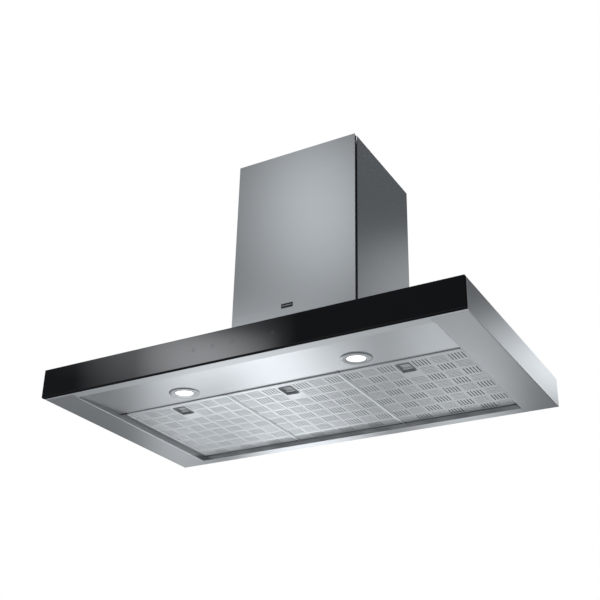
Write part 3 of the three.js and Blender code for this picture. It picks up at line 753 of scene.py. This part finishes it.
for filter_name in FILTERS:
    tray_low, tray_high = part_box(f"filter_{filter_name}_tray")
    cup_low, cup_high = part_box(f"filter_{filter_name}_latch_cup")
    inset = Vector((FLANGE - GAP, FLANGE - GAP, 0))
    recess_low, recess_high = cup_low + inset, cup_high - inset
    points, faces, slots_cut = filter_sheet(tray_low, tray_high, recess_low, recess_high)
    middle = Vector(((tray_low.x + tray_high.x) / 2, 0, 0))
    body = f"filter_{filter_name}"
    face = piece(f"filter_face_{filter_name}", [p + middle for p in points], faces,
                 filter_satin, body, "aluminium")
    if sum(polygon.normal.z for polygon in face.data.polygons) > 0:
        face.data.flip_normals()
    thickness = face.modifiers.new("sheet", "SOLIDIFY")
    thickness.thickness = SHEET
    thickness.offset = -1
    piece(f"filter_hem_{filter_name}", *filter_frame(tray_low, tray_high),
          filter_satin, body, "aluminium", smooth=True)
    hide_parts(f"filter_{filter_name}_tray")
    print("filter", filter_name, "has", slots_cut, "slots and", len(faces), "triangles")

# %% [markdown]
# ## Bars between the filters
# A low rounded bar covers each joint between two filters. Because it is round across, some line along it
# mirrors a bright part of the room, and its steel is painted far paler than the rest as a painted highlight,
# so it reads as a light stripe. Its ends are drawn in to a blunt point where it meets the panel in front
# and the rim behind.

# %% Bars
BAR_HALF = 0.0026
BAR_DEPTH = 0.0010
BAR_END = 0.03
BAR_SECTION = 8
BAR_SINK = 0.0002  # into the divider
BAR_SHORT = 0.001  # at each end


def rounded_bar(x, top, start, end, half=BAR_HALF, depth=BAR_DEPTH):
    """A bar along Y, flat on top and round underneath, that narrows over its last few centimetres.

    A station is a place along the bar and its share of the full section."""
    stations = [(start, 0.35), (start + BAR_END / 2, 0.8), (start + BAR_END, 1.0),
                (end - BAR_END, 1.0), (end - BAR_END / 2, 0.8), (end, 0.35)]
    points, faces = [], []
    for y, share in stations:
        for i in range(BAR_SECTION + 1):
            angle = math.pi * i / BAR_SECTION
            across = half * share * math.cos(angle)
            points.append(Vector((x + across, y, top - depth * share * math.sin(angle))))
    count = BAR_SECTION + 1
    for station in range(len(stations) - 1):
        here, after = station * count, (station + 1) * count
        for i in range(count):
            j = (i + 1) % count
            faces.append((here + i, here + j, after + j, after + i))
    faces.append(tuple(range(count)))
    faces.append(tuple(range(len(points) - count, len(points))))
    return points, faces


for side in ("left", "right"):
    low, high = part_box(f"divider_{side}")
    bar = rounded_bar((low.x + high.x) / 2, low.z + BAR_SINK, low.y + BAR_SHORT, high.y - BAR_SHORT)
    piece(f"bar_cap_{side}", *bar, bar_steel_painted_highlight, "hood", "steel", smooth=True)
print("bar caps made,", round(2000 * BAR_HALF, 1), "mm wide")

# %% [markdown]
# ## Beads on the side rims
# The inner edge of each side rim is rolled over, so that nobody is cut by it when a filter is taken out.
# The roll is a fine bead along the edge, and it shows as a bright line; its steel is the bars' pale one,
# a painted highlight.

# %% Rim beads
BEAD_HALF = 0.0009
BEAD_DEPTH = 0.0006
BEAD_SINK = 0.0001
panel_low, panel_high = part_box("light_panel")
rear_low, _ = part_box("rim_rear")
for side, edge in (("left", panel_low.x - BEAD_HALF), ("right", panel_high.x + BEAD_HALF)):
    bead = rounded_bar(edge, BEAD_SINK, panel_low.y, rear_low.y, BEAD_HALF, BEAD_DEPTH)
    piece(f"rim_bead_{side}", *bead, bar_steel_painted_highlight, "hood", "steel", smooth=True)

# %% [markdown]
# ## Latches
# A finger goes into a moulded cup and pulls a sliding tab back against its spring, which takes a tongue
# out of the panel in front. The cup has a fillet round its mouth, and the tab has three grip ribs and a
# raised lip.

# %% Latches
CUP_PROUD = 0.0011  # of the cup, under the filter's face
TONGUE = 0.0217  # length of the tab's tongue
TONGUE_HALF = 0.0058
TONGUE_OVERLAP = 0.0005
TAB_PLATE = 0.0015
TAB_LIP = 0.0026
RIBS, RIB_PITCH, FIRST_RIB = 3, 0.0045, 0.004


def cup_form(low, high, flange):
    centre = ((low.x + high.x) / 2, (low.y + high.y) / 2)
    half_x = (high.x - low.x) / 2 - flange
    half_y = (high.y - low.y) / 2 - flange
    wall = 0.0012
    mouth = low.z + 0.0004
    sections = [
        (half_x, half_y, 0.002, high.z),
        (half_x, half_y, 0.002, mouth),
        (half_x - 0.0004, half_y - 0.0004, 0.002, low.z),
        (half_x - wall + 0.0003, half_y - wall + 0.0003, 0.0015, low.z),
        (half_x - wall, half_y - wall, 0.0015, mouth),
        (half_x - wall, half_y - wall, 0.0015, high.z - 0.0022),
        (half_x - wall - 0.001, half_y - wall - 0.001, 0.001, high.z - wall),
    ]
    return stacked(sections, centre)


def plate_form(x, y, half_x, half_y, bottom, top, radius=0.001, fillet=0.0003):
    sections = [
        (half_x - fillet, half_y - fillet, radius, bottom),
        (half_x, half_y, radius, bottom + fillet),
        (half_x, half_y, radius, top - fillet),
        (half_x - fillet, half_y - fillet, radius, top),
    ]
    return stacked(sections, (x, y))


for filter_name in FILTERS:
    cup_low, cup_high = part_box(f"filter_{filter_name}_latch_cup")
    cup_low.z -= CUP_PROUD
    points, faces = cup_form(cup_low, cup_high, FLANGE)
    cup = piece(f"latch_cup_{filter_name}", points, faces, cup_grey_painted_light,
                f"filter_{filter_name}", "grey_plastic", smooth=True)
    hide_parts(f"filter_{filter_name}_latch_cup")
    low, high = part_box(f"filter_{filter_name}_latch")
    x = (low.x + high.x) / 2
    half = (high.x - low.x) / 2
    plate_front = low.y + TONGUE
    plate_middle = (plate_front + high.y) / 2
    plate_half = (high.y - plate_front) / 2
    forms = [
        plate_form(x, plate_middle, half, plate_half, high.z - TAB_PLATE, high.z),
        plate_form(x, high.y - TAB_LIP / 2, half, TAB_LIP / 2, low.z, high.z - 0.0012),
        plate_form(x, (low.y + plate_front) / 2 + TONGUE_OVERLAP, TONGUE_HALF,
                   TONGUE / 2 + TONGUE_OVERLAP, high.z - 0.0022, high.z - 0.0002),
    ]
    for rib in range(RIBS):
        forms.append(plate_form(x, plate_front + FIRST_RIB + rib * RIB_PITCH, half - 0.002, 0.0007,
                                high.z - 0.0023, high.z - 0.0012, 0.0005, 0.0002))
    tab = piece(f"latch_tab_{filter_name}", *together(*forms), tab_grey_painted_light,
                f"latch_{filter_name}", "grey_plastic", smooth=True)
    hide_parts(f"filter_{filter_name}_latch")
print("latches made for", len(FILTERS), "filters")

# %% [markdown]
# ## Lamps
# Each lamp sits in a polished ring that clips into the sloping panel. The ring has a flat rim, a shallow
# cone down to the lens and a spigot behind the panel. The lens is a slightly domed disc.

# %% Lamps
panel = nodes["light_panel"]
front_points = [v.co.z for v in panel.data.vertices if v.co.y < panel_low.y + 1e-5]
rear_points = [v.co.z for v in panel.data.vertices if v.co.y > panel_high.y - 1e-5]
slope = math.atan2(min(rear_points) - min(front_points), panel_high.y - panel_low.y)
print("the light panel leans", round(math.degrees(slope), 2), "degrees")

RING_PROFILE = [
    (0.0176, 0.0006), (0.0176, -0.0012), (0.0182, -0.0018), (0.0200, -0.0020), (0.0262, -0.0024),
    (0.0285, -0.0024), (0.0296, -0.0018), (0.0299, -0.0008), (0.0305, -0.0006), (0.0305, -0.0003),
    (0.0256, -0.0003), (0.0256, 0.0040), (0.0242, 0.0040), (0.0242, 0.0008),
]
LENS_PROFILE = [
    (0.0, -0.0004), (0.0070, -0.0003), (0.0130, -0.0001), (0.0168, 0.0001), (0.0171, 0.0005),
    (0.0171, 0.0010), (0.0228, 0.0011), (0.0228, 0.0024), (0.0, 0.0024),
]
for side in ("left", "right"):
    bezel_low, bezel_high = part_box(f"lamp_bezel_{side}")
    x, y, _ = (bezel_low + bezel_high) / 2
    z = min(front_points) + math.tan(slope) * (y - panel_low.y)
    turn = Matrix.Translation((x, y, z)) @ Matrix.Rotation(slope, 4, "X")
    ring = piece(f"lamp_ring_{side}", *turned(RING_PROFILE, turn), ring_satin, "hood", "chrome",
                 smooth=True)
    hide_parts(f"lamp_bezel_{side}")
    lens = piece(f"lamp_glass_{side}", *turned(LENS_PROFILE, turn), lens_lit, "hood", "lens",
                 smooth=True)
    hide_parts(f"lamp_lens_{side}")
    print("lamp", side, "at", round(x, 4), round(y, 4), round(z, 4))

# %% [markdown]
# ## Glass edge, touch marks and plate
# The ground edge of the glass is sealed with matt black paint, so that no light gets behind the printed
# face. Five touch fields are printed on the glass as small rings with a plain symbol. The chimney carries
# a small plate without lettering: a dark frame round a lighter bar.

# %% Glass edge
SEAL = 0.00015
SEAL_INSET = 0.0005
glass_low, glass_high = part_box("glass_front")


def slab(low, high):
    """A plain box between two corners."""
    points = [Vector((x, y, z)) for z in (low[2], high[2]) for y in (low[1], high[1])
              for x in (low[0], high[0])]
    faces = [(0, 2, 3, 1), (4, 5, 7, 6), (0, 1, 5, 4), (2, 6, 7, 3), (0, 4, 6, 2), (1, 3, 7, 5)]
    return points, faces


front_of_seal = glass_low.y + SEAL_INSET
seal = [slab((glass_low.x, front_of_seal, glass_low.z - SEAL),
             (glass_high.x, glass_high.y, glass_low.z + SEAL))]
for x in (glass_low.x, glass_high.x):
    seal.append(slab((x - SEAL, front_of_seal, glass_low.z), (x + SEAL, glass_high.y, glass_high.z)))
piece("glass_edge_seal", *together(*seal), edge_black, "hood", "black_glass")

# %% Touch marks and plate
def print_ink(name):
    finish = Finish(name, (0.20, 0.21, 0.22), 0.4)
    wear = finish.noise((700, 700, 700), 2.0)
    finish.tint(wear, 0.8, 1.1)
    finish.bump(wear, 0.05, 0.00002)
    return finish.material


ink = print_ink("touch_ink")
MARK_PITCH = 0.0425
MARK_HEIGHT = 0.031
INK = 0.00006
upright = Matrix.Rotation(math.radians(90), 4, "X")
for number in range(5):
    x = (number - 2) * MARK_PITCH
    place = Matrix.Translation((x, glass_low.y, MARK_HEIGHT)) @ upright
    ring_print = turned([(0.0030, -INK), (0.0030, INK), (0.0035, INK), (0.0035, -INK)], place, 40)
    symbol = stacked([(0.0003, 0.0012, 0.0002, -INK), (0.0003, 0.0012, 0.0002, INK)], (0, 0))
    symbol = ([place @ p for p in symbol[0]], symbol[1])
    piece(f"touch_mark_{number + 1}", *together(ring_print, symbol), ink, "hood", "black_glass")

front_low, front_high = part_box("chimney_front")
PLATE_X, PLATE_Z = -0.0115, 0.201
plate_place = Matrix.Translation((PLATE_X, front_low.y, PLATE_Z)) @ upright
plate_body = stacked([(0.0135, 0.005, 0.0008, -0.0001), (0.0135, 0.005, 0.0008, 0.0006),
                      (0.0131, 0.0046, 0.0006, 0.0008)], (0, 0))
bar_body = stacked([(0.0118, 0.0008, 0.0004, 0.0007), (0.0118, 0.0008, 0.0004, 0.0010)], (0, 0))
# The plate's bar shares the latch tab's pale grey, which carries painted light.
for name, body, finish in (("name_plate", plate_body, black_moulding), ("plate_bar", bar_body, tab_grey_painted_light)):
    points = [plate_place @ p for p in body[0]]
    piece(name, points, body[1], finish, "hood", "black_plastic", smooth=True)

# %% [markdown]
# ## Screws
# The parts that nobody sees in use are held by pan-head screws. One head is a turned dome with a cross
# on top of it, and it is set on each part by the part's own box.

# %% Screws
HEAD = [(0.0, 0.0022), (0.0015, 0.0021), (0.0028, 0.0016), (0.0035, 0.0007), (0.0036, -0.0002),
        (0.0, -0.0002)]
CROSS = (0.0022, 0.0004)
CROSS_FLOOR, CROSS_TOP = 0.0005, 0.00235
CASE_INSET, LID_INSET, COLLAR_RADIUS = 0.006, 0.008, 0.084
SHEET_METAL, COLLAR_FLANGE = 0.001, 0.002
FACING = {"up": Matrix.Identity(4), "right": Matrix.Rotation(math.radians(90), 4, "Y")}


def screw(name, place, facing, body):
    turn = Matrix.Translation(place) @ FACING[facing]
    piece(name, *turned(HEAD, turn, 24), spring_wire, body, "spring_steel", smooth=True)
    cross = [slab((-x, -y, CROSS_FLOOR), (x, y, CROSS_TOP)) for x, y in (CROSS, CROSS[::-1])]
    cross_points, cross_faces = together(*cross)
    piece(name + "_cross", [turn @ p for p in cross_points], cross_faces, black_moulding, body,
          "black_plastic")


case_low, case_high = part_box("blower_case")
lid_low, lid_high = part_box("terminal_lid")
collar_low, collar_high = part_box("outlet_collar")
duct = (collar_low + collar_high) / 2
flange_top = case_low.z + SHEET_METAL
screws = []
for x in (case_low.x + CASE_INSET, case_high.x - CASE_INSET):
    for y in (0.0, 0.09, 0.18):
        screws.append(((x, y, flange_top), "up", "hood"))
for y in (lid_low.y + LID_INSET, lid_high.y - LID_INSET):
    for z in (lid_low.z + LID_INSET, lid_high.z - LID_INSET):
        screws.append(((lid_high.x, y, z), "right", "hood"))
for turn in range(4):
    angle = math.radians(45 + 90 * turn)
    x = duct.x + COLLAR_RADIUS * math.cos(angle)
    y = duct.y + COLLAR_RADIUS * math.sin(angle)
    screws.append(((x, y, collar_low.z + COLLAR_FLANGE), "up", "hood"))
for number, settings in enumerate(screws):
    screw(f"screw_{number + 1}", *settings)
print(len(screws), "screws set")

# %% Measure, then finish
low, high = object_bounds()
print("visual box", [round(v, 4) for v in (*low, *high)])
